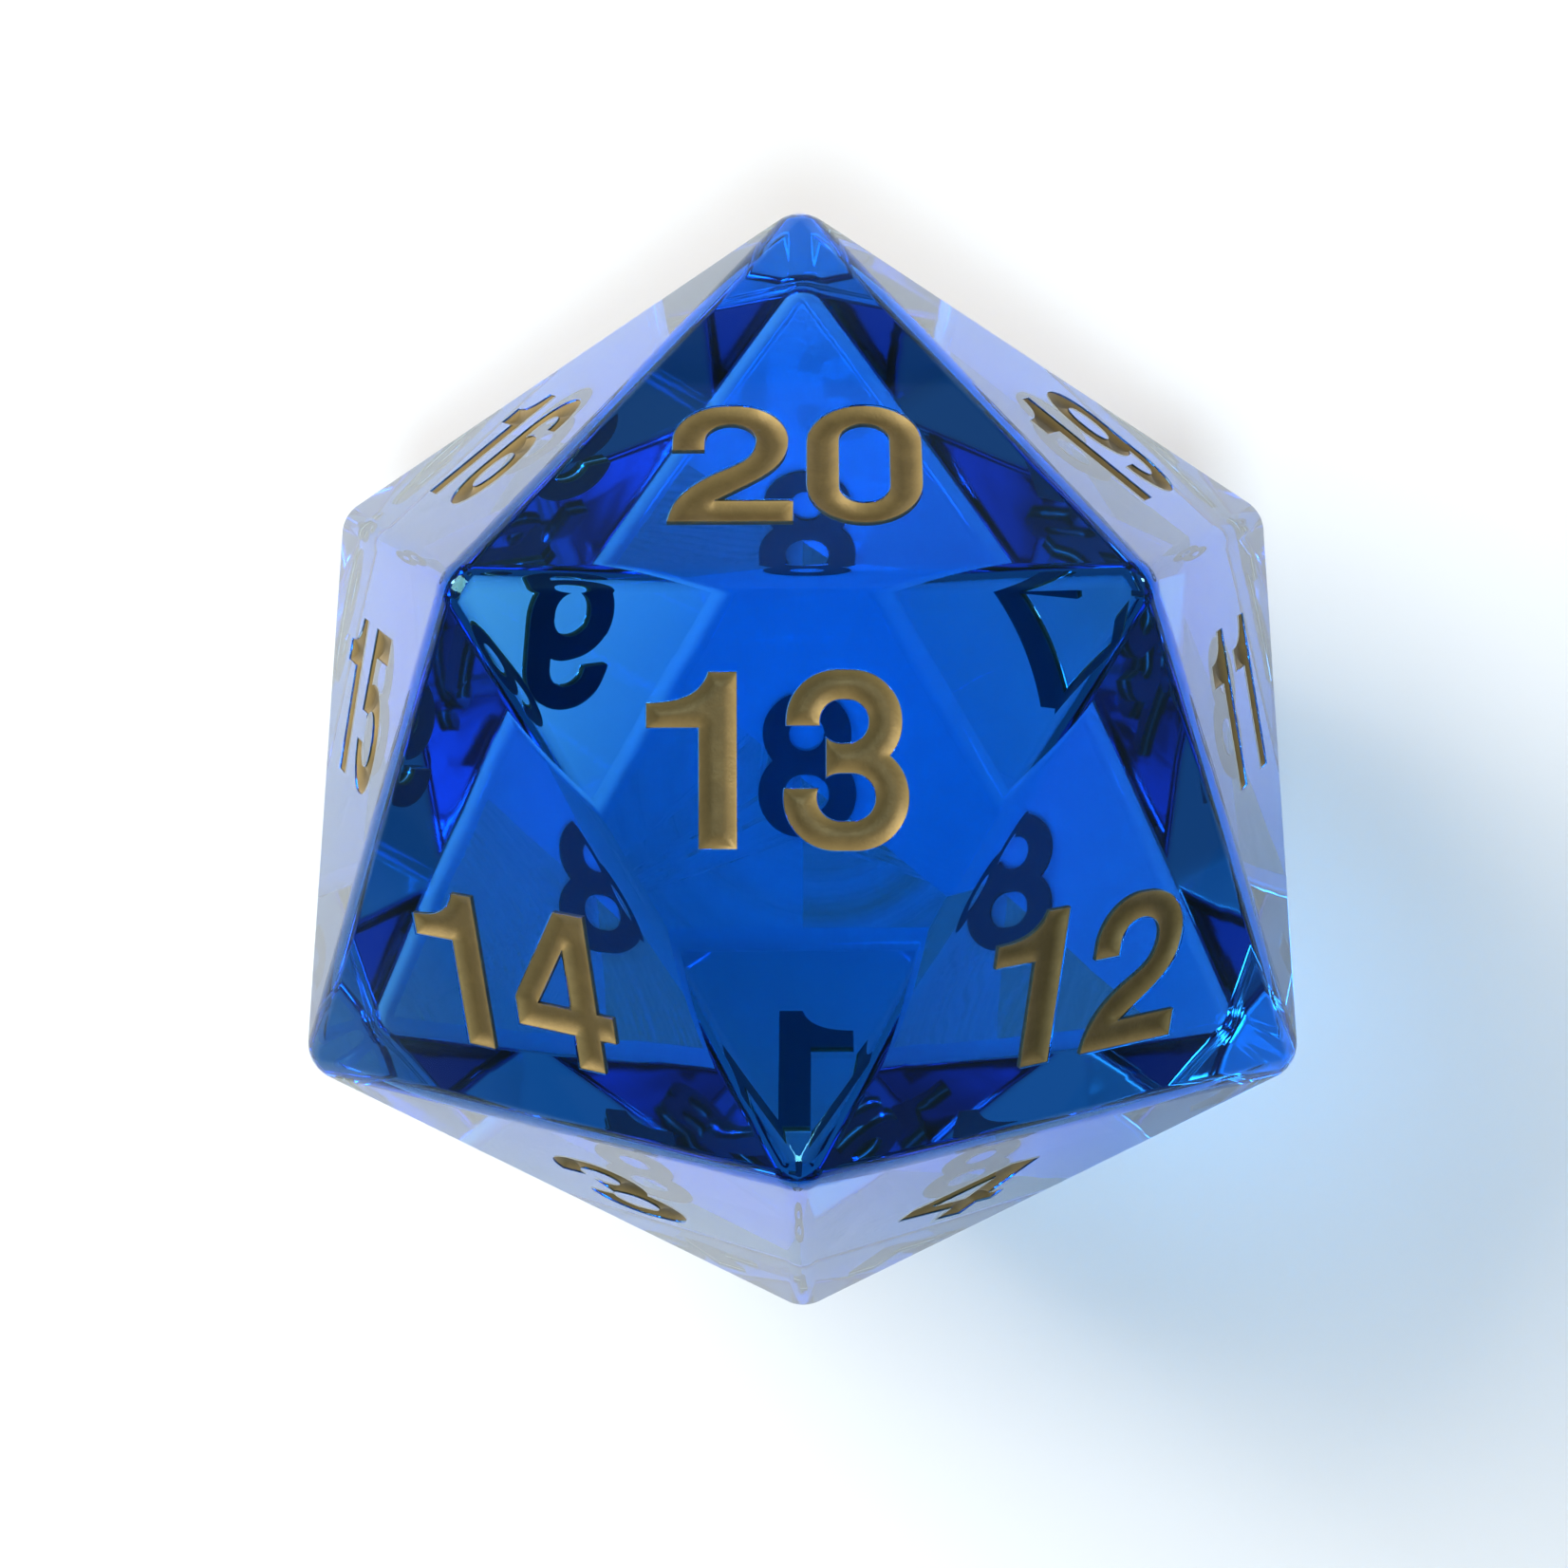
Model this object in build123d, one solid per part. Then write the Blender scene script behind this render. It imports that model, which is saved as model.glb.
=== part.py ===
from build123d import *
import math
import os

# Twenty-faced countdown die: a clear body with one engraved, paint-filled numeral on
# each face.  The die rests on face 8 with face 13 level on top.  The origin lies on the
# resting plane under the middle of the die, +Z is up and +Y points towards the head
# corner, which faces 16 to 20 share.  All lengths are in millimetres.

# ---- driving dimensions ---------------------------------------------------------------
ACROSS_FLATS = 55.0         # distance between two opposite faces
ROUNDING = 2.3              # radius of every edge and corner

CAP_HEIGHT = 9.1            # height of a flat-topped digit
OVERSHOOT = 0.1             # how far round digits pass the cap line and the base line
STROKE = 1.7                # width of an upright stroke
BAR = 1.5                   # width of a level stroke
CELL = 7.1                  # advance from one digit to the next
BEARING_OF_1 = 0.37         # the digit 1 starts near the left side of its cell
DOT_RADIUS = 0.8            # mark beside the 6 and the 9, which read alike upside down
DOT_GAP = 0.9               # clear space between the digit and its mark

ENGRAVING_DEPTH = 0.60      # depth of the cut for a numeral
PAINT_RECESS = 0.15         # how far the dried paint sits below the face

# Height of a numeral's centre over its face's centre, by the side on which the face
# has its apex.  A single digit is narrow and sits further into the apex.
RISE_APEX_UP = {1: 0.9, 2: -1.8}
RISE_APEX_DOWN = {1: -0.3, 2: 1.0}
# Numerals that sit to one side of the middle of their face.
SIDE_SHIFT = {3: -1.2, 7: 0.8, 8: -0.3, 9: -1.2, 13: -1.05}

# ---- icosahedron ----------------------------------------------------------------------
GOLDEN = (1 + math.sqrt(5)) / 2
INRADIUS_PER_EDGE = GOLDEN ** 2 / (2 * math.sqrt(3))
CORNER_RADIUS_PER_EDGE = math.sqrt(GOLDEN * math.sqrt(5)) / 2

# Corners met one after the other on the ring round the head corner and on the ring
# round the opposite foot corner.
HEAD_RING = ["top_left", "top_right", "back_right", "base_back", "back_left"]
FOOT_RING = ["left", "top_front", "right", "base_right", "base_left"]
OPPOSITE = {
    "head": "foot",
    "top_left": "base_right",
    "top_right": "base_left",
    "top_front": "base_back",
    "left": "back_right",
    "right": "back_left",
}
OPPOSITE.update({other: name for name, other in OPPOSITE.items()})


def make_corners(inradius):
    """Corner points of an icosahedron, face 13 level on top, by name."""
    edge = inradius / INRADIUS_PER_EDGE
    near = edge / math.sqrt(3)
    far = near * GOLDEN
    level = math.sqrt((CORNER_RADIUS_PER_EDGE * edge) ** 2 - far ** 2)

    def at(radius, angle, z):
        turn = math.radians(angle)
        return Vector(radius * math.cos(turn), radius * math.sin(turn), z)

    corners = {
        "top_left": at(near, 150, inradius),
        "top_right": at(near, 30, inradius),
        "top_front": at(near, 270, inradius),
        "head": at(far, 90, level),
        "left": at(far, 210, level),
        "right": at(far, 330, level),
    }
    for name in list(corners):
        corners[OPPOSITE[name]] = corners[name] * -1
    return corners


def number_faces():
    """Corner names of each numbered face.

    20 to 16 run round the head corner and 15 to 11 run along the middle.  Opposite
    faces add up to 21, so 10 to 1 run in the same way on the other side.
    """
    faces = {}
    for step in range(5):
        after = (step + 1) % 5
        faces[20 - step] = ("head", HEAD_RING[step], HEAD_RING[after])
    faces[15] = (HEAD_RING[4], HEAD_RING[0], FOOT_RING[0])
    faces[14] = (FOOT_RING[0], FOOT_RING[1], HEAD_RING[0])
    faces[13] = (HEAD_RING[0], HEAD_RING[1], FOOT_RING[1])
    faces[12] = (FOOT_RING[1], FOOT_RING[2], HEAD_RING[1])
    faces[11] = (HEAD_RING[1], HEAD_RING[2], FOOT_RING[2])
    for number in range(11, 21):
        faces[21 - number] = tuple(OPPOSITE[name] for name in faces[number])
    return faces


def apex_is_up(names):
    """True where one corner of the face is nearer to the head corner than the others."""
    return "head" in names or sum(name in HEAD_RING for name in names) == 1


def face_plane(points, head):
    """Plane on a face: x to the right, y up towards the head corner, z outwards."""
    centre = (points[0] + points[1] + points[2]) * (1 / 3)
    outward = centre.normalized()
    up = (head - outward * head.dot(outward)).normalized()
    return Plane(origin=centre, x_dir=up.cross(outward), z_dir=outward)


def icosahedron(inradius, faces):
    corners = make_corners(inradius)
    sides = []
    for names in faces.values():
        loop = [corners[name] for name in names]
        sides.append(Face(Wire.make_polygon(loop, close=True)))
    return Solid(Shell(sides))


# ---- digits: left ink edge on x = 0, base line on y = 0 --------------------------------
LOW = -OVERSHOOT
HIGH = CAP_HEIGHT + OVERSHOOT
WAIST = 4.65                # middle of the level stroke between two stacked bowls


def slab(left, bottom, right, top):
    box = Rectangle(right - left, top - bottom)
    return Pos((left + right) / 2, (bottom + top) / 2) * box


def bowl(left, bottom, right, top):
    """Closed round ring: upright strokes at the sides, level strokes above and below."""
    width = right - left
    height = top - bottom
    roundness = 0.49
    outer = RectangleRounded(width, height, roundness * min(width, height))
    hole_width = width - 2 * STROKE
    hole_height = height - 2 * BAR
    hole = RectangleRounded(hole_width, hole_height, roundness * min(hole_width, hole_height))
    return Pos((left + right) / 2, (bottom + top) / 2) * (outer - hole)


def outline(*curves):
    return make_face(Curve() + list(curves))


def digit_0():
    return bowl(0, LOW, 6.15, HIGH)


def digit_1():
    stem_left = 2.7
    stem_right = 4.65
    flag_low = 6.25
    flag_high = 7.5
    top_left = (3.2, CAP_HEIGHT)
    flag_tip = (0, flag_high)
    return outline(
        Polyline(
            flag_tip,
            (0, flag_low),
            (stem_left, flag_low),
            (stem_left, 0),
            (stem_right, 0),
            (stem_right, CAP_HEIGHT),
            top_left,
        ),
        Spline(top_left, flag_tip, tangents=((-0.3, -1), (-1, 0))),
    )


def digit_2():
    foot_right = 6.6
    foot_inner = (2.45, BAR + 0.1)
    side = 6.3
    outer_side = (6.3, side)
    inner_side = (6.3 - STROKE, side)
    heel = (0, 0)
    neck = outline(
        Polyline(heel, (foot_right, 0), (foot_right, BAR + 0.1), foot_inner),
        Spline(foot_inner, (4.95, 3.5), outer_side, tangents=((1, 0.8), (0, 1))),
        Line(outer_side, inner_side),
        Spline(inner_side, (2.8, 3.95), heel, tangents=((0, -1), (-0.12, -1))),
    )
    arch = bowl(0.1, 3.4, 6.3, HIGH) & slab(0, side, 7, 10)
    terminal = slab(0.1, 5.6, 0.1 + STROKE, side)
    return neck + arch + terminal


def digit_3():
    half_bar = BAR / 2
    upper = bowl(0.15, WAIST - half_bar, 6.1, HIGH)
    lower = bowl(0, LOW, 6.45, WAIST + half_bar)
    opening = slab(-1, 3.1, 2.2, 6.35)
    return upper + lower - opening


def digit_4():
    stem_left = 4.0
    stem_right = 5.8
    bar_low = 1.95
    bar_high = bar_low + BAR
    tip = 6.9
    frame = Polygon(
        (0, bar_low),
        (stem_left, bar_low),
        (stem_left, 0),
        (stem_right, 0),
        (stem_right, bar_low),
        (tip, bar_low),
        (tip, bar_high),
        (stem_right, bar_high),
        (stem_right, CAP_HEIGHT),
        (3.75, CAP_HEIGHT),
        (0, bar_high + 0.15),
        align=None,
    )
    counter = Polygon(
        (1.6, bar_high),
        (stem_left, bar_high),
        (stem_left, 6.95),
        align=None,
    )
    return frame - counter


def digit_5():
    stem_foot = 4.3
    flag = Polygon(
        (0.3, stem_foot),
        (1.85, stem_foot),
        (2.3, CAP_HEIGHT - BAR),
        (6.0, CAP_HEIGHT - BAR),
        (6.0, CAP_HEIGHT),
        (0.95, CAP_HEIGHT),
        align=None,
    )
    ring = bowl(0, LOW, 6.4, 6.1)
    side_gap = slab(-1, 2.55, 2.0, stem_foot)
    shoulder = slab(-1, stem_foot, 1.2, 7)
    return ring - side_gap - shoulder + flag


def digit_6():
    loop = bowl(0, LOW, 6.15, 5.9)
    gap = slab(3.0, 3.0, 7, 6.6)
    return bowl(0, LOW, 6.15, HIGH) - gap + loop


def digit_7():
    bar_bottom = CAP_HEIGHT - BAR - 0.1
    arm = (6.3, bar_bottom)
    foot_right = (3.5, 0)
    foot_left = (1.6, 0)
    throat = (4.35, bar_bottom)
    return outline(
        Polyline(throat, (0, bar_bottom), (0, CAP_HEIGHT), (6.3, CAP_HEIGHT), arm),
        Spline(arm, foot_right, tangents=((-0.75, -1), (-0.1, -1))),
        Line(foot_right, foot_left),
        Spline(foot_left, throat, tangents=((0.1, 1), (0.75, 1))),
    )


def digit_8():
    half_bar = BAR / 2
    upper = bowl(0.3, WAIST - half_bar, 5.95, HIGH)
    lower = bowl(0, LOW, 6.25, WAIST + half_bar)
    return upper + lower


def digit_9():
    six = digit_6()
    return Pos(6.15, CAP_HEIGHT) * Rot(0, 0, 180) * six


DIGITS = [
    digit_0,
    digit_1,
    digit_2,
    digit_3,
    digit_4,
    digit_5,
    digit_6,
    digit_7,
    digit_8,
    digit_9,
]


def numeral(number, apex_up):
    """Outline of a whole numeral in the plane of its face."""
    text = str(number)
    ink = Sketch()
    for place, letter in enumerate(text):
        glyph = DIGITS[int(letter)]()
        cell_left = CELL * (place - len(text) / 2)
        bearing = BEARING_OF_1
        if letter != "1":
            bearing = (CELL - glyph.bounding_box().max.X) / 2
        ink += Pos(cell_left + bearing, -CAP_HEIGHT / 2) * glyph
    if number in (6, 9):
        right = ink.bounding_box().max.X
        dot = Circle(DOT_RADIUS)
        ink += Pos(right + DOT_GAP + DOT_RADIUS, DOT_RADIUS - CAP_HEIGHT / 2) * dot
    rise = RISE_APEX_UP if apex_up else RISE_APEX_DOWN
    return Pos(SIDE_SHIFT.get(number, 0), rise[len(text)]) * ink


# ---- body and paint -------------------------------------------------------------------
def build():
    faces = number_faces()
    corners = make_corners(ACROSS_FLATS / 2)
    core = icosahedron(ACROSS_FLATS / 2 - ROUNDING, faces)
    body = offset(core, amount=ROUNDING, kind=Kind.ARC)
    pieces = {}
    lift = Pos(0, 0, ACROSS_FLATS / 2)
    for number in sorted(faces):
        points = [corners[name] for name in faces[number]]
        plane = face_plane(points, corners["head"])
        ink = plane * numeral(number, apex_is_up(faces[number]))
        inward = plane.z_dir * -1
        cut = extrude(ink, amount=ENGRAVING_DEPTH, dir=inward)
        body -= cut
        skin = Pos(*(inward * PAINT_RECESS)) * ink
        paint = extrude(skin, amount=ENGRAVING_DEPTH - PAINT_RECESS, dir=inward)
        pieces[f"numeral_{number:02d}"] = lift * paint
    pieces["die_body"] = lift * body
    return pieces


os.makedirs("parts", exist_ok=True)
for name, shape in build().items():
    export_step(shape, f"parts/{name}.step")
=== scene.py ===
import math

import bpy
import numpy as np
from mathutils import Matrix, Vector
from mathutils.geometry import delaunay_2d_cdt


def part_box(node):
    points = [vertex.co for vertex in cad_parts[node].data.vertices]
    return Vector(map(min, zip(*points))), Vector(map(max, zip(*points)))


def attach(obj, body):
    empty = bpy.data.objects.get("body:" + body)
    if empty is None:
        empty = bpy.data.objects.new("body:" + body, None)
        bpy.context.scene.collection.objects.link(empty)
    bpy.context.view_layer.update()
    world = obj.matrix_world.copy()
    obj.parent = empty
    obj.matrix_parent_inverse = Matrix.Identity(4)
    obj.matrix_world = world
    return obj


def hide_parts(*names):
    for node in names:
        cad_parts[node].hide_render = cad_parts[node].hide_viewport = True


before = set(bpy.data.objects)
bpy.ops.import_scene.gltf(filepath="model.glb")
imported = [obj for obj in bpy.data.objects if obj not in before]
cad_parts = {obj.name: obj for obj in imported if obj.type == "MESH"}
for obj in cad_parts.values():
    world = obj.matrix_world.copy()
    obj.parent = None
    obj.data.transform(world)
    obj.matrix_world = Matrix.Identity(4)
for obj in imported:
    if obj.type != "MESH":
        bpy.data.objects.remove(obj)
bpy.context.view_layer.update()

MM = 0.001

# ---- shape of the die (millimetres) -----------------------------------------------------
# The CAD box gives the size: its height is the distance between two opposite faces.
CAD_LOW, CAD_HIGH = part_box("die_body")
INRADIUS = (CAD_HIGH.z - CAD_LOW.z) / 2 / MM
ROUNDING = 2.3              # radius of every edge and corner, as in the CAD
ARC_STEPS = 14              # facets across a rounded edge

ENGRAVING_DEPTH = 0.60      # floor of the cut below the face
RIM_BEVEL = 0.05            # softened lip of the cut
PAINT_RIM = 0.10            # where the paint meets the wall of the cut
PAINT_DISH = 0.36           # how far the dried paint sinks in the middle of a stroke
DISH_REACH = 0.78           # distance from the wall at which the dish is level
OVERLAP = 0.02              # paint reaches this far into the body, so no gap shows
UNDERSIDE = 2.0             # mark of the paint's lower side; its top has 0 to 1, for the painted light and shade by depth
GRID = 0.19                 # spacing of points over the dished paint
GRID_TO_WALL = 0.45         # share of that spacing which stays free along the walls

# ---- tolerances ---------------------------------------------------------------------------
SAME_SPOT = 0.001           # points nearer than this are one point, mm
SAME_SPOT_DIGITS = 7        # the same for the CAD's vertices, digits of a metre
SHORTEST_RUN = 1e-4         # runs of an outline shorter than this are dropped, mm
STRAIGHT = 1e-6             # twice the area of a corner that doesn't turn, mm2
TRIANGLE_SLACK = 1e-7       # how near points may come before triangulation joins them, mm
WHOLE_PLANE = 0             # triangulation mode: fill everything, in and out of the loops
FACES_OUT = 0.999           # cosine between a face and the CAD triangles that lie on it
SMOOTH_WALL = 0.8           # cosine above which two runs of a wall shade as one curve
SHARPEST_MITRE = 0.5        # a mitred corner moves at most 1 / this times the offset


# ---- icosahedron, numbered like the CAD --------------------------------------------------
GOLDEN = (1 + math.sqrt(5)) / 2
INRADIUS_PER_EDGE = GOLDEN ** 2 / (2 * math.sqrt(3))
CORNER_RADIUS_PER_EDGE = math.sqrt(GOLDEN * math.sqrt(5)) / 2
HEAD_RING = ["top_left", "top_right", "back_right", "base_back", "back_left"]
FOOT_RING = ["left", "top_front", "right", "base_right", "base_left"]
OPPOSITE = {
    "head": "foot",
    "top_left": "base_right",
    "top_right": "base_left",
    "top_front": "base_back",
    "left": "back_right",
    "right": "back_left",
}
OPPOSITE.update({other: name for name, other in OPPOSITE.items()})


def make_corners(inradius):
    edge = inradius / INRADIUS_PER_EDGE
    near = edge / math.sqrt(3)
    far = near * GOLDEN
    level = math.sqrt((CORNER_RADIUS_PER_EDGE * edge) ** 2 - far ** 2)

    def at(radius, angle, z):
        turn = math.radians(angle)
        return np.array([radius * math.cos(turn), radius * math.sin(turn), z])

    corners = {
        "top_left": at(near, 150, inradius),
        "top_right": at(near, 30, inradius),
        "top_front": at(near, 270, inradius),
        "head": at(far, 90, level),
        "left": at(far, 210, level),
        "right": at(far, 330, level),
    }
    for name in list(corners):
        corners[OPPOSITE[name]] = -corners[name]
    return corners


def number_faces():
    """Corner names of each numbered face; opposite faces add up to 21."""
    faces = {}
    for step in range(5):
        after = (step + 1) % 5
        faces[20 - step] = ("head", HEAD_RING[step], HEAD_RING[after])
    faces[15] = (HEAD_RING[4], HEAD_RING[0], FOOT_RING[0])
    faces[14] = (FOOT_RING[0], FOOT_RING[1], HEAD_RING[0])
    faces[13] = (HEAD_RING[0], HEAD_RING[1], FOOT_RING[1])
    faces[12] = (FOOT_RING[1], FOOT_RING[2], HEAD_RING[1])
    faces[11] = (HEAD_RING[1], HEAD_RING[2], FOOT_RING[2])
    for number in range(11, 21):
        faces[21 - number] = tuple(OPPOSITE[name] for name in faces[number])
    return faces


def unit(vector):
    return vector / np.linalg.norm(vector)


CORE = make_corners(INRADIUS - ROUNDING)
FACES = number_faces()
NORMALS = {n: unit(sum(CORE[c] for c in names)) for n, names in FACES.items()}
CENTRE = np.array([0.0, 0.0, INRADIUS])


class FaceFrame:
    """Flat coordinates on one face: x right, y up towards the head corner, z outwards."""

    def __init__(self, number):
        self.normal = NORMALS[number]
        head = CORE["head"]
        self.up = unit(head - self.normal * head.dot(self.normal))
        self.right = np.cross(self.up, self.normal)
        self.origin = CENTRE + self.normal * INRADIUS

    def flat(self, points):
        away = points - self.origin
        return np.stack([away @ self.right, away @ self.up], axis=1)

    def place(self, flat, depth=0.0):
        flat = np.asarray(flat, float)
        depth = np.broadcast_to(np.asarray(depth, float), (len(flat),))
        return (
            self.origin
            + flat[:, :1] * self.right
            + flat[:, 1:2] * self.up
            - depth[:, None] * self.normal
        )


# ---- outlines of the numerals, read from the CAD nodes ------------------------------------
def ink_loops(number, face):
    """Closed outlines of a numeral in the face's flat coordinates, ink on the left."""
    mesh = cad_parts["numeral_%02d" % number].data
    keys = {}
    spots = []
    index = []
    for vertex in mesh.vertices:
        key = tuple(round(c, SAME_SPOT_DIGITS) for c in vertex.co)
        if key not in keys:
            keys[key] = len(spots)
            spots.append(np.array(vertex.co) / MM)
        index.append(keys[key])
    outward = Vector(face.normal)
    following = {}
    for polygon in mesh.polygons:
        if polygon.normal.dot(outward) < FACES_OUT:
            continue
        ring = [index[v] for v in polygon.vertices]
        for start, end in zip(ring, ring[1:] + ring[:1]):
            if following.get(end) is not None and start in following[end]:
                following[end].remove(start)
            else:
                following.setdefault(start, set()).add(end)
    flat = face.flat(np.array(spots))
    loops = []
    waiting = {start for start, ends in following.items() if ends}
    while waiting:
        start = min(waiting)
        loop = [start]
        waiting.discard(start)
        here = min(following[start])
        while here != start:
            loop.append(here)
            waiting.discard(here)
            here = min(following[here])
        loops.append(drop_straight(flat[loop]))
    return loops


def drop_straight(loop):
    """The loop without doubled points or points in the middle of straight runs."""
    kept = []
    count = len(loop)
    for i in range(count):
        before = loop[i] - loop[i - 1]
        after = loop[(i + 1) % count] - loop[i]
        cross = before[0] * after[1] - before[1] * after[0]
        if np.linalg.norm(before) > SHORTEST_RUN and abs(cross) > STRAIGHT:
            kept.append(loop[i])
    return np.array(kept)


def corner_shift(loop):
    """Unit-offset vector of each point, away from the ink; corners are mitred."""
    before = loop - np.roll(loop, 1, axis=0)
    after = np.roll(loop, -1, axis=0) - loop
    before /= np.linalg.norm(before, axis=1)[:, None]
    after /= np.linalg.norm(after, axis=1)[:, None]
    side_before = np.stack([before[:, 1], -before[:, 0]], axis=1)
    side_after = np.stack([after[:, 1], -after[:, 0]], axis=1)
    middle = side_before + side_after
    middle /= np.linalg.norm(middle, axis=1)[:, None]
    stretch = np.clip((middle * side_before).sum(axis=1), SHARPEST_MITRE, 1)
    return middle / stretch[:, None]


def inside(points, loops):
    """Even-odd test of many points against closed loops."""
    points = np.asarray(points)
    odd = np.zeros(len(points), bool)
    for loop in loops:
        for (x0, y0), (x1, y1) in zip(loop, np.roll(loop, -1, axis=0)):
            crosses = (y0 > points[:, 1]) != (y1 > points[:, 1])
            if crosses.any():
                at = x0 + (points[:, 1] - y0) * (x1 - x0) / (y1 - y0)
                odd ^= crosses & (points[:, 0] < at)
    return odd


def wall_distance(points, loops):
    """Distance of each point from the nearest outline."""
    best = np.full(len(points), np.inf)
    for loop in loops:
        end = np.roll(loop, -1, axis=0)
        for a, b in zip(loop, end):
            run = b - a
            along = np.clip(((points - a) @ run) / run.dot(run), 0, 1)
            gap = points - a - along[:, None] * run
            best = np.minimum(best, np.linalg.norm(gap, axis=1))
    return best


def triangulate(loops, extra, keep_inside, outer=None):
    """Triangles inside the loops, or between them and the outer loop.

    Returns all points, the triangles, and the new places of each loop's own points.
    """
    points = []
    edges = []
    spans = []
    for loop in ([] if outer is None else [outer]) + list(loops):
        first = len(points)
        spans.append((first, len(loop)))
        points.extend(map(tuple, loop))
        edges.extend(
            (first + i, first + (i + 1) % len(loop)) for i in range(len(loop))
        )
    points.extend(map(tuple, extra))
    made, _, triangles, origin, _, _ = delaunay_2d_cdt(
        [Vector(p) for p in points], edges, [], WHOLE_PLANE, TRIANGLE_SLACK
    )
    flat = np.array([tuple(p) for p in made])
    new_place = {}
    for new, olds in enumerate(origin):
        for old in olds:
            new_place[old] = new
    middles = np.array([flat[list(t)].mean(axis=0) for t in triangles])
    wanted = inside(middles, loops) == keep_inside
    if outer is not None:
        wanted &= inside(middles, [outer])
    rings = [[new_place[first + i] for i in range(n)] for first, n in spans]
    return flat, [tuple(t) for t, w in zip(triangles, wanted) if w], rings


# ---- mesh with its own normals -------------------------------------------------------------
class Sculpt:
    """Collects points, faces and the exact normal of every face corner."""

    def __init__(self):
        self.points = []
        self.faces = []
        self.normals = []
        self.shades = []

    def add(self, points, shade=0.0):
        """Adds points and returns the place of the first."""
        first = len(self.points)
        self.points.extend(np.asarray(points, float))
        shade = np.broadcast_to(np.asarray(shade, float), (len(points),))
        self.shades.extend(shade)
        return first

    def face(self, corners, normals):
        self.faces.append(tuple(corners))
        self.normals.append([tuple(n) for n in normals])

    def build(self, name, material):
        """Makes the object; points on one spot are joined and faces without area left out."""
        keys = {}
        spots = []
        shades = []
        index = []
        for point, shade in zip(self.points, self.shades):
            key = tuple(np.round(point / SAME_SPOT).astype(int))
            if key not in keys:
                keys[key] = len(spots)
                spots.append(point * MM)
                shades.append(shade)
            index.append(keys[key])
        faces = []
        normals = []
        for corners, directions in zip(self.faces, self.normals):
            ring = [index[c] for c in corners]
            if len(set(ring)) < len(ring):
                pairs = [
                    (c, d)
                    for i, (c, d) in enumerate(zip(ring, directions))
                    if c != ring[i - 1]
                ]
                if len(pairs) < 3:
                    continue
                ring = [c for c, _ in pairs]
                directions = [d for _, d in pairs]
            faces.append(ring)
            normals.extend(directions)
        mesh = bpy.data.meshes.new(name)
        mesh.from_pydata([tuple(p) for p in spots], [], faces)
        mesh.polygons.foreach_set("use_smooth", [True] * len(mesh.polygons))
        # This mark drives the paint's painted highlight at the rim and painted shade in the
        # middle of a stroke.
        layer = mesh.attributes.new("painted_depth_shade", "FLOAT", "POINT")
        layer.data.foreach_set("value", shades)
        mesh.normals_split_custom_set(normals)
        mesh.materials.append(material)
        piece = bpy.data.objects.new(name, mesh)
        bpy.context.scene.collection.objects.link(piece)
        return piece


def turned(a, b, share):
    """Unit vector that lies the given share of the way round from a to b."""
    angle = math.acos(max(-1.0, min(1.0, a.dot(b))))
    return (math.sin((1 - share) * angle) * a + math.sin(share * angle) * b) / math.sin(angle)


def add_oriented(sculpt, ring, directions, points):
    """Adds a face turned so that it looks the way its corner normals point."""
    a, b, c = (points[i] for i in range(3))
    turn = np.cross(b - a, c - b)
    if turn.dot(sum(directions)) < 0:
        ring = ring[::-1]
        directions = directions[::-1]
    sculpt.face(ring, directions)


def round_edges(sculpt):
    """A strip of a cylinder along each edge, from face to face."""
    numbers = sorted(FACES)
    for i, first in enumerate(numbers):
        for second in numbers[i + 1:]:
            shared = sorted(set(FACES[first]) & set(FACES[second]))
            if len(shared) < 2:
                continue
            ends = [CENTRE + CORE[name] for name in shared]
            arc = [
                turned(NORMALS[first], NORMALS[second], step / ARC_STEPS)
                for step in range(ARC_STEPS + 1)
            ]
            for d0, d1 in zip(arc, arc[1:]):
                points = [
                    ends[0] + ROUNDING * d0,
                    ends[1] + ROUNDING * d0,
                    ends[1] + ROUNDING * d1,
                    ends[0] + ROUNDING * d1,
                ]
                at = sculpt.add(points)
                ring = [at, at + 1, at + 2, at + 3]
                add_oriented(sculpt, ring, [d0, d0, d1, d1], points)


def round_corners(sculpt):
    """A part of a sphere on each corner, made of five fans that meet at its middle."""
    for name, corner in CORE.items():
        middle = unit(corner)
        around = [n for n, names in FACES.items() if name in names]
        east = unit(NORMALS[around[0]] - middle * NORMALS[around[0]].dot(middle))
        north = np.cross(middle, east)
        around.sort(key=lambda n: math.atan2(NORMALS[n] @ north, NORMALS[n] @ east))
        for first, second in zip(around, around[1:] + around[:1]):
            rows = []
            for step in range(ARC_STEPS + 1):
                share = step / ARC_STEPS
                left = turned(middle, NORMALS[first], share)
                right = turned(middle, NORMALS[second], share)
                inner = [turned(left, right, k / step) for k in range(1, step)]
                rows.append([left, *inner, right] if step else [middle])
            for upper, lower in zip(rows, rows[1:]):
                for k in range(len(upper)):
                    patches = [(upper[k], lower[k], lower[k + 1])]
                    if k + 1 < len(upper):
                        patches.append((upper[k], lower[k + 1], upper[k + 1]))
                    for patch in patches:
                        points = [CENTRE + corner + ROUNDING * d for d in patch]
                        at = sculpt.add(points)
                        ring = [at, at + 1, at + 2]
                        add_oriented(sculpt, ring, [unit(d) for d in patch], points)


def wall_normals(loop, face):
    """For each run of an outline, the normals at its two ends, towards the ink."""
    run = np.roll(loop, -1, axis=0) - loop
    run /= np.linalg.norm(run, axis=1)[:, None]
    side = np.stack([-run[:, 1], run[:, 0]], axis=1)
    pairs = []
    for i in range(len(loop)):
        ends = []
        for other in (side[i - 1], side[(i + 1) % len(loop)]):
            smooth = unit(side[i] + other) if side[i].dot(other) > SMOOTH_WALL else side[i]
            ends.append(smooth[0] * face.right + smooth[1] * face.up)
        pairs.append(ends)
    return pairs


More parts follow.
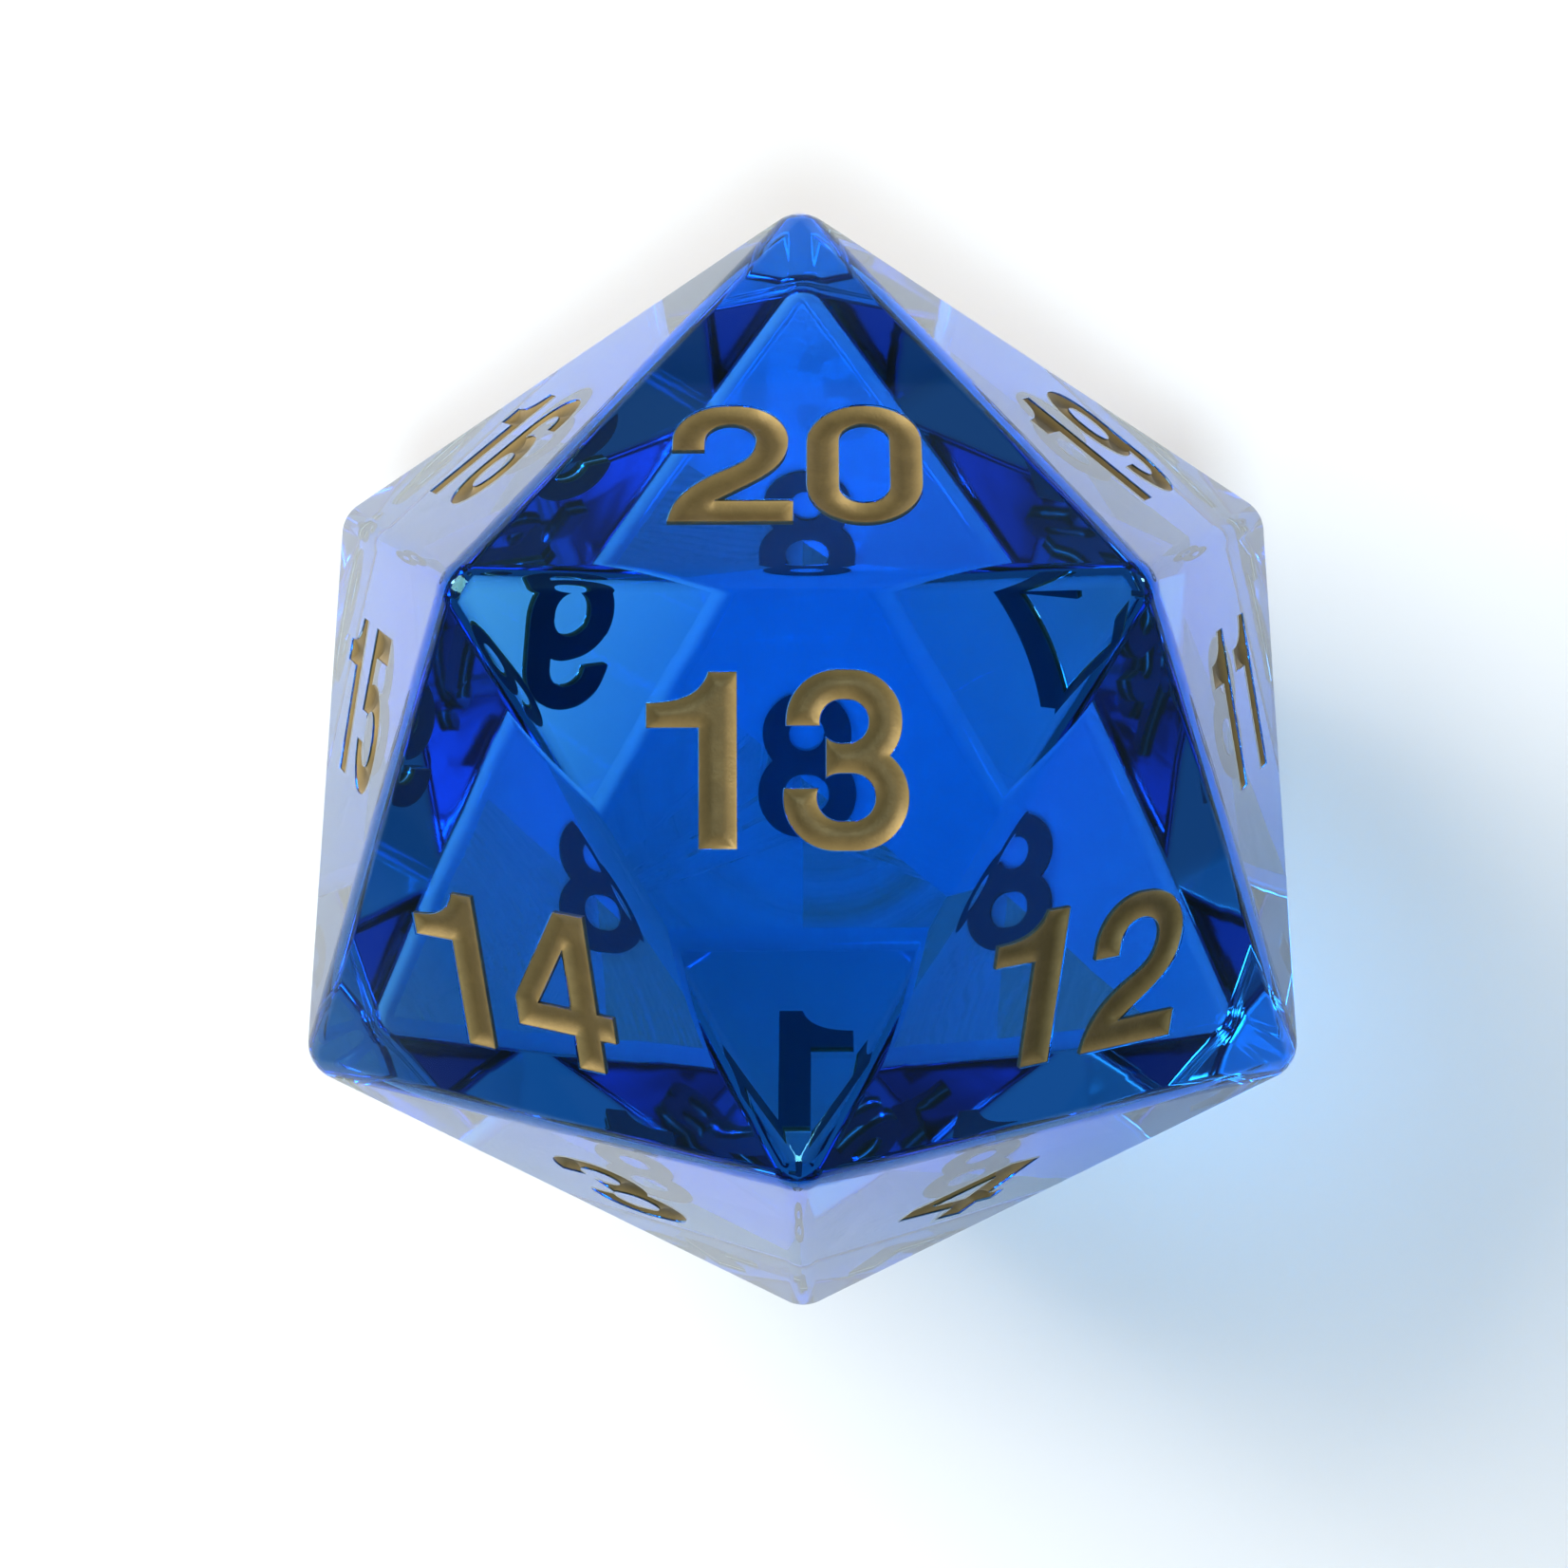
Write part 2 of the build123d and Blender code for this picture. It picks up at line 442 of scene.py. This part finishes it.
def cut_face(sculpt, face, corners, loops):
    """The flat of one face with the numeral cut into it."""
    outer = face.flat(np.array(corners))
    first, second = outer[1] - outer[0], outer[2] - outer[1]
    if first[0] * second[1] - first[1] * second[0] < 0:
        outer = outer[::-1]
    lips = [loop + RIM_BEVEL * corner_shift(loop) for loop in loops]
    flat, triangles, _ = triangulate(lips, [], False, outer)
    at = sculpt.add(face.place(flat))
    for triangle in triangles:
        sculpt.face([at + k for k in triangle], [face.normal] * 3)
    for loop, lip in zip(loops, lips):
        count = len(loop)
        lip_at = sculpt.add(face.place(lip))
        edge_at = sculpt.add(face.place(loop, RIM_BEVEL))
        floor_at = sculpt.add(face.place(loop, ENGRAVING_DEPTH))
        for i, (start, end) in enumerate(wall_normals(loop, face)):
            j = (i + 1) % count
            ring = [lip_at + i, lip_at + j, edge_at + j, edge_at + i]
            sculpt.face(ring, [face.normal, face.normal, end, start])
            ring = [edge_at + i, edge_at + j, floor_at + j, floor_at + i]
            sculpt.face(ring, [start, end, end, start])
    flat, triangles, _ = triangulate(loops, [], True)
    at = sculpt.add(face.place(flat, ENGRAVING_DEPTH))
    for triangle in triangles:
        sculpt.face([at + k for k in triangle], [face.normal] * 3)


def build_body(outlines, material):
    sculpt = Sculpt()
    for number, names in FACES.items():
        face = FaceFrame(number)
        corners = [CENTRE + CORE[c] + ROUNDING * face.normal for c in names]
        cut_face(sculpt, face, corners, outlines[number])
    round_edges(sculpt)
    round_corners(sculpt)
    return sculpt.build("die_shell", material)


def dish(distance):
    """How far the dried paint lies below the face, by distance from the wall."""
    reach = np.clip(distance / DISH_REACH, 0, 1)
    return PAINT_RIM + PAINT_DISH * np.sin(reach * math.pi / 2)


def grid_inside(loops):
    """Evenly spread points inside a numeral, in rows of equal triangles."""
    low = np.min([loop.min(axis=0) for loop in loops], axis=0)
    high = np.max([loop.max(axis=0) for loop in loops], axis=0)
    row_height = GRID * math.sqrt(3) / 2
    points = []
    for row in range(int((high[1] - low[1]) / row_height) + 2):
        y = low[1] + row * row_height
        x = low[0] + (row % 2) * GRID / 2
        while x < high[0]:
            points.append((x, y))
            x += GRID
    points = np.array(points)
    points = points[inside(points, loops)]
    return points[wall_distance(points, loops) > GRID * GRID_TO_WALL]


def build_paint(number, loops, material):
    """The paint of one numeral: a dished top, walls, and a flat underside."""
    face = FaceFrame(number)
    sculpt = Sculpt()
    edge = [loop + OVERLAP * corner_shift(loop) for loop in loops]
    flat, triangles, rings = triangulate(edge, grid_inside(loops), True)
    distance = wall_distance(flat, edge)
    distance[[k for ring in rings for k in ring]] = 0
    depth = dish(distance)
    top = face.place(flat, depth)
    smooth = np.zeros_like(top)
    for a, b, c in triangles:
        turn = np.cross(top[b] - top[a], top[c] - top[a])
        smooth[[a, b, c]] += turn
    smooth /= np.linalg.norm(smooth, axis=1)[:, None]
    # level runs from 0 at the wall to 1 in the middle; the paint material turns it into a
    # painted highlight at the rim and painted shade in the middle
    level = (depth - PAINT_RIM) / PAINT_DISH
    top_at = sculpt.add(top, level)
    bottom_at = sculpt.add(face.place(flat, ENGRAVING_DEPTH + OVERLAP), UNDERSIDE)
    for triangle in triangles:
        sculpt.face([top_at + k for k in triangle], [smooth[k] for k in triangle])
        under = triangle[::-1]
        sculpt.face([bottom_at + k for k in under], [-face.normal] * 3)
    for ring in rings:
        for i, (start, end) in enumerate(wall_normals(flat[ring], face)):
            here = ring[i]
            after = ring[(i + 1) % len(ring)]
            quad = [top_at + here, bottom_at + here, bottom_at + after, top_at + after]
            sculpt.face(quad, [-start, -start, -end, -end])
    return sculpt.build("paint_%02d" % number, material)


# ---- materials ----------------------------------------------------------------------------
ACRYLIC_IOR = 1.515
SHEEN_COLOR = (0.26, 0.84, 1.0)     # the blue surface also tints what it mirrors
DYE_DENSITY = 60.0                  # absorption of red light per metre
DYE_COLOR = (0.0, 0.685, 0.988)     # share of each colour that the dye lets through
CLEAR_TONES = [(0.3, (0.985, 0.992, 1.0)), (0.7, (0.995, 1.0, 1.0))]

# Painted light and shade: lighter where the paint climbs the wall (a painted highlight),
# darker in the middle of a stroke (painted shade), greyish underneath.
PAINT_TONES_WITH_PAINTED_LIGHT = [
    (0.08, (0.295, 0.210, 0.078)),
    (0.52, (0.108, 0.078, 0.028)),
    (0.66, (0.108, 0.078, 0.028)),
    (0.82, (0.12, 0.12, 0.13)),
]
PAINTED_SHADE_SHARE = 0.372                 # how much the painted shade by depth and the blotches move the tone
BLOTCH_SHARE = 0.27
PAINT_METALLIC = 0.35
PAINT_IOR = 1.5
PAINT_GLOSS = 0.2

# White paper round the die, with painted shade that darkens it further away, where less light
# falls.
PAINTED_SHADE_START = 0.20                  # metres from the die where the painted shade starts
PAINTED_SHADE_FULL = 0.60                  # and where the painted shade is darkest
PAPER_AND_PAINTED_SHADE_TONES = [
    (0.0, (0.88, 0.88, 0.88)),
    (0.03, (0.90, 0.90, 0.90)),
    (1.0, (0.30, 0.31, 0.33)),
]
PAPER_GRAIN = 0.012
PAPER_ROUGHNESS = 0.75
PAPER_GLOSS = 0.25


class Nodes:
    """Short ways to fill the node tree of a material or a world."""

    def __init__(self, owner, output):
        self.owner = owner
        owner.use_nodes = True
        self.tree = owner.node_tree
        self.tree.nodes.clear()
        self.output = self.node(output)

    def node(self, kind, **settings):
        made = self.tree.nodes.new("ShaderNode" + kind)
        for key, value in settings.items():
            setattr(made, key, value)
        return made

    def link(self, source, target):
        self.tree.links.new(source, target)

    def noise(self, scale, detail, roughness):
        place = self.node("TexCoord")
        made = self.node("TexNoise")
        made.inputs["Scale"].default_value = scale
        made.inputs["Detail"].default_value = detail
        made.inputs["Roughness"].default_value = roughness
        self.link(place.outputs["Object"], made.inputs["Vector"])
        return made.outputs["Fac"]

    def spread(self, value, low, high, from_low=0.0, from_high=1.0):
        """The value, moved from one range to another and kept inside it."""
        made = self.node("MapRange")
        made.inputs["From Min"].default_value = from_low
        made.inputs["From Max"].default_value = from_high
        made.inputs["To Min"].default_value = low
        made.inputs["To Max"].default_value = high
        self.link(value, made.inputs["Value"])
        return made.outputs["Result"]

    def scaled(self, value, factor):
        made = self.node("Math", operation="MULTIPLY")
        self.link(value, made.inputs[0])
        made.inputs[1].default_value = factor
        return made.outputs[0]

    def total(self, first, second):
        made = self.node("Math", operation="ADD")
        self.link(first, made.inputs[0])
        self.link(second, made.inputs[1])
        return made.outputs[0]

    def ramp(self, value, stops):
        made = self.node("ValToRGB")
        ramp = made.color_ramp
        while len(ramp.elements) < len(stops):
            ramp.elements.new(0.5)
        for element, (position, color) in zip(ramp.elements, stops):
            element.position = position
            element.color = (*color, 1)
        self.link(value, made.inputs["Fac"])
        return made.outputs["Color"]

    def bump(self, height, distance, strength, under=None):
        """Surface relief, on top of another relief if there is one under it."""
        made = self.node("Bump")
        made.inputs["Distance"].default_value = distance
        made.inputs["Strength"].default_value = strength
        self.link(height, made.inputs["Height"])
        if under is not None:
            self.link(under, made.inputs["Normal"])
        return made.outputs["Normal"]


def clear_blue():
    """Dyed acrylic with a faint haze and slightly wavy polished faces."""
    m = Nodes(bpy.data.materials.new("clear_blue_acrylic"), "OutputMaterial")
    shader = m.node("BsdfPrincipled")
    shader.inputs["Transmission Weight"].default_value = 1.0
    shader.inputs["IOR"].default_value = ACRYLIC_IOR
    shader.inputs["Specular Tint"].default_value = (*SHEEN_COLOR, 1)
    haze = m.noise(scale=180, detail=4, roughness=0.6)
    m.link(m.ramp(haze, CLEAR_TONES), shader.inputs["Base Color"])
    polish = m.spread(haze, low=0.015, high=0.05, from_low=0.35, from_high=0.75)
    m.link(polish, shader.inputs["Roughness"])
    waves = m.noise(scale=55, detail=1, roughness=0.4)
    m.link(m.bump(waves, distance=0.0002, strength=0.04), shader.inputs["Normal"])
    m.link(shader.outputs["BSDF"], m.output.inputs["Surface"])
    dye = m.node("VolumeAbsorption")
    dye.inputs["Color"].default_value = (*DYE_COLOR, 1)
    dye.inputs["Density"].default_value = DYE_DENSITY
    m.link(dye.outputs["Volume"], m.output.inputs["Volume"])
    return m.owner


def gold_paint():
    """Gold-brown paint with fine flakes, blotches, brush-like waves, and painted light and
    shade across each stroke.
    """
    m = Nodes(bpy.data.materials.new("gold_numeral_paint"), "OutputMaterial")
    shader = m.node("BsdfPrincipled")
    shader.inputs["Metallic"].default_value = PAINT_METALLIC
    shader.inputs["IOR"].default_value = PAINT_IOR
    shader.inputs["Specular IOR Level"].default_value = PAINT_GLOSS
    # Painted light and shade: the tone is lighter at the rims of a stroke and darker in its
    # middle, by the depth mark, on top of random blotches.
    depth = m.node("Attribute", attribute_name="painted_depth_shade").outputs["Fac"]
    blotch = m.noise(scale=700, detail=4, roughness=0.65)
    tone = m.total(m.scaled(depth, PAINTED_SHADE_SHARE), m.scaled(blotch, BLOTCH_SHARE))
    m.link(m.ramp(tone, PAINT_TONES_WITH_PAINTED_LIGHT), shader.inputs["Base Color"])
    m.link(m.spread(blotch, low=0.38, high=0.62), shader.inputs["Roughness"])
    flakes = m.noise(scale=6000, detail=2, roughness=0.6)
    grit = m.bump(flakes, distance=0.00003, strength=0.5)
    waves = m.noise(scale=900, detail=2, roughness=0.5)
    relief = m.bump(waves, distance=0.0001, strength=0.35, under=grit)
    m.link(relief, shader.inputs["Normal"])
    m.link(shader.outputs["BSDF"], m.output.inputs["Surface"])
    return m.owner


def paper():
    """White paper round the die, darkened further away by painted shade."""
    m = Nodes(bpy.data.materials.new("pale_floor"), "OutputMaterial")
    shader = m.node("BsdfPrincipled")
    shader.inputs["Roughness"].default_value = PAPER_ROUGHNESS
    shader.inputs["Specular IOR Level"].default_value = PAPER_GLOSS
    away = m.node("VectorMath", operation="LENGTH")
    m.link(m.node("TexCoord").outputs["Object"], away.inputs[0])
    # Painted shade: the paper darkens with distance from the die, standing in for light that
    # falls off.
    far = m.spread(away.outputs["Value"], 0.0, 1.0, PAINTED_SHADE_START, PAINTED_SHADE_FULL)
    grain = m.scaled(m.noise(scale=900, detail=5, roughness=0.6), PAPER_GRAIN)
    m.link(m.ramp(m.total(far, grain), PAPER_AND_PAINTED_SHADE_TONES), shader.inputs["Base Color"])
    fibres = m.noise(scale=2500, detail=4, roughness=0.6)
    m.link(m.bump(fibres, distance=0.00004, strength=0.12), shader.inputs["Normal"])
    m.link(shader.outputs["BSDF"], m.output.inputs["Surface"])
    return m.owner


# ---- the object ---------------------------------------------------------------------------
outlines = {number: ink_loops(number, FaceFrame(number)) for number in FACES}
body = build_body(outlines, clear_blue())
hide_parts("die_body")
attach(body, "root")
gold = gold_paint()
for number, loops in outlines.items():
    paint = build_paint(number, loops, gold)
    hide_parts("numeral_%02d" % number)
    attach(paint, "root")


# ---- floor, lights, camera ----------------------------------------------------------------
FLOOR_SIDE = 3.0
FLOOR_CELLS = 40

LIGHT_DISTANCE = 0.8        # metres from the middle of the die
# Square soft boxes: name, azimuth from +X, elevation, side in metres, watts, colour.
LIGHTS = [
    ("key_softbox", 148.0, 36.0, 0.48, 7.8, (1.0, 0.95, 0.88)),
    ("top_softbox", 270.0, 70.7, 0.20, 3.4, (0.68, 0.86, 1.0)),
    ("left_window", 150.3, 17.2, 0.10, 0.9, (1.0, 1.0, 1.0)),
    ("right_window", 29.7, 17.2, 0.10, 0.9, (1.0, 1.0, 1.0)),
]

# Brightness of the room by direction: Z is height, Y is depth, both from -1 to 1.
ROOM_STRENGTH = 3.0
ROOM_BY_HEIGHT = [
    (-0.10, 0.10),
    (0.02, 0.16),
    (0.30, 0.16),
    (0.60, 0.10),
    (0.88, 0.12),
    (0.93, 0.20),
    (0.955, 0.16),
    (0.975, 0.02),
]
ROOM_BY_DEPTH = [(-0.9, 0.28), (-0.2, 0.45), (0.1, 0.70), (0.9, 0.66)]

# The camera looks almost straight down on face 13, with the head corner up.
SENSOR_WIDTH = 36
FOCAL_LENGTH = 62.62
NEAR_LIMIT = 0.01
CAMERA_PLACE = (0.00128, 0.00028, 0.19509)
CAMERA_LOOK = (-0.0141, -0.0035, -0.9999)
CAMERA_UP = (0.0018, 1.0, -0.0035)


def add_floor():
    steps = np.linspace(-FLOOR_SIDE / 2, FLOOR_SIDE / 2, FLOOR_CELLS + 1)
    points = [(x, y, 0.0) for y in steps for x in steps]
    row = FLOOR_CELLS + 1
    faces = []
    for j in range(FLOOR_CELLS):
        for i in range(FLOOR_CELLS):
            at = j * row + i
            faces.append((at, at + 1, at + row + 1, at + row))
    mesh = bpy.data.meshes.new("studio_floor")
    mesh.from_pydata(points, [], faces)
    mesh.materials.append(paper())
    floor = bpy.data.objects.new("studio_floor", mesh)
    bpy.context.scene.collection.objects.link(floor)


def add_light(name, azimuth, elevation, size, power, color):
    """A square soft box in one direction, looking at the middle of the die."""
    data = bpy.data.lights.new(name, "AREA")
    data.shape = "SQUARE"
    data.size = size
    data.energy = power
    data.color = color
    lamp = bpy.data.objects.new(name, data)
    turn = math.radians(azimuth)
    rise = math.radians(elevation)
    level = math.cos(rise)
    towards = Vector((level * math.cos(turn), level * math.sin(turn), math.sin(rise)))
    lamp.location = Vector(CENTRE * MM) + towards * LIGHT_DISTANCE
    lamp.rotation_euler = towards.to_track_quat("Z", "Y").to_euler()
    bpy.context.scene.collection.objects.link(lamp)


def add_studio():
    """Dim room with a ring of light overhead, brighter at the back than in front."""
    m = Nodes(bpy.data.worlds.new("studio"), "OutputWorld")
    split = m.node("SeparateXYZ")
    m.link(m.node("TexCoord").outputs["Generated"], split.inputs[0])
    product = m.node("VectorMath", operation="MULTIPLY")
    sides = [("Z", ROOM_BY_HEIGHT), ("Y", ROOM_BY_DEPTH)]
    for (axis, levels), factor in zip(sides, product.inputs):
        stops = [((reach + 1) / 2, (level,) * 3) for reach, level in levels]
        reach = m.spread(split.outputs[axis], low=0.0, high=1.0, from_low=-1.0)
        m.link(m.ramp(reach, stops), factor)
    sky = m.node("Background")
    sky.inputs["Strength"].default_value = ROOM_STRENGTH
    m.link(product.outputs[0], sky.inputs["Color"])
    m.link(sky.outputs[0], m.output.inputs["Surface"])
    bpy.context.scene.world = m.owner


def add_camera():
    lens = bpy.data.cameras.new("photo_view")
    lens.sensor_width = SENSOR_WIDTH
    lens.lens = FOCAL_LENGTH
    lens.clip_start = NEAR_LIMIT
    camera = bpy.data.objects.new("photo_view", lens)
    camera.location = CAMERA_PLACE
    look = Vector(CAMERA_LOOK).normalized()
    right = look.cross(Vector(CAMERA_UP)).normalized()
    up = right.cross(look)
    camera.rotation_euler = Matrix((right, up, -look)).transposed().to_euler()
    bpy.context.scene.collection.objects.link(camera)
    bpy.context.scene.camera = camera


add_floor()
for settings in LIGHTS:
    add_light(*settings)
add_studio()
add_camera()
bpy.context.scene.view_settings.view_transform = "Standard"

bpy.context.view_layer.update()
